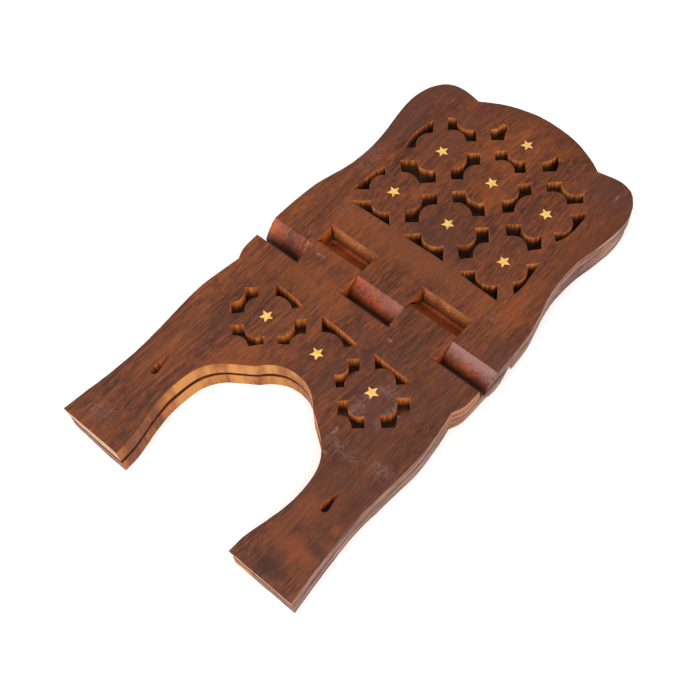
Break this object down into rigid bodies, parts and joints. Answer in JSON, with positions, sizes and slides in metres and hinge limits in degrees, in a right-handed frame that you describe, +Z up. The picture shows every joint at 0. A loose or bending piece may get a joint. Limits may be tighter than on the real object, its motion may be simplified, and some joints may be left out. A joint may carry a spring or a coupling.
{
  "type": "folding book stand",
  "caption": "Folding wooden book stand carved from one plank: two pierced leaves that cross on interlocking wooden knuckles, with brass star inlays.",
  "frame": {"origin": "middle of the underside of the folded stand, on the surface that it lies on", "axes": "+X across the stand, +Y along its length from the legs towards the crown of the panels, +Z up through its thickness"},
  "size_m": [0.1542, 0.305, 0.02],
  "materials": {
    "wood": "satin, lightly oiled rosewood with dark streaks along the length",
    "brass": "brushed, slightly dull"
  },
  "bodies": {
    "two_knuckle_leaf": {"two_knuckle_leaf": "wood", "two_knuckle_leaf_panel_star_1": "brass", "two_knuckle_leaf_panel_star_2": "brass", "two_knuckle_leaf_panel_star_3": "brass", "two_knuckle_leaf_panel_star_4": "brass", "two_knuckle_leaf_panel_star_5": "brass", "two_knuckle_leaf_panel_star_6": "brass", "two_knuckle_leaf_panel_star_7": "brass", "two_knuckle_leaf_leg_star_1": "brass", "two_knuckle_leaf_leg_star_2": "brass", "two_knuckle_leaf_leg_star_3": "brass"},
    "three_knuckle_leaf": {"three_knuckle_leaf": "wood", "three_knuckle_leaf_panel_star_1": "brass", "three_knuckle_leaf_panel_star_2": "brass", "three_knuckle_leaf_panel_star_3": "brass", "three_knuckle_leaf_panel_star_4": "brass", "three_knuckle_leaf_panel_star_5": "brass", "three_knuckle_leaf_panel_star_6": "brass", "three_knuckle_leaf_panel_star_7": "brass", "three_knuckle_leaf_leg_star_1": "brass", "three_knuckle_leaf_leg_star_2": "brass", "three_knuckle_leaf_leg_star_3": "brass"}
  },
  "joints": [
    {"name": "fold", "type": "hinge", "parent": "two_knuckle_leaf", "child": "three_knuckle_leaf", "pos_m": [0, 0.0025, 0.01], "axis": [1, 0, 0], "range_deg": [0, 113]}
  ]
}
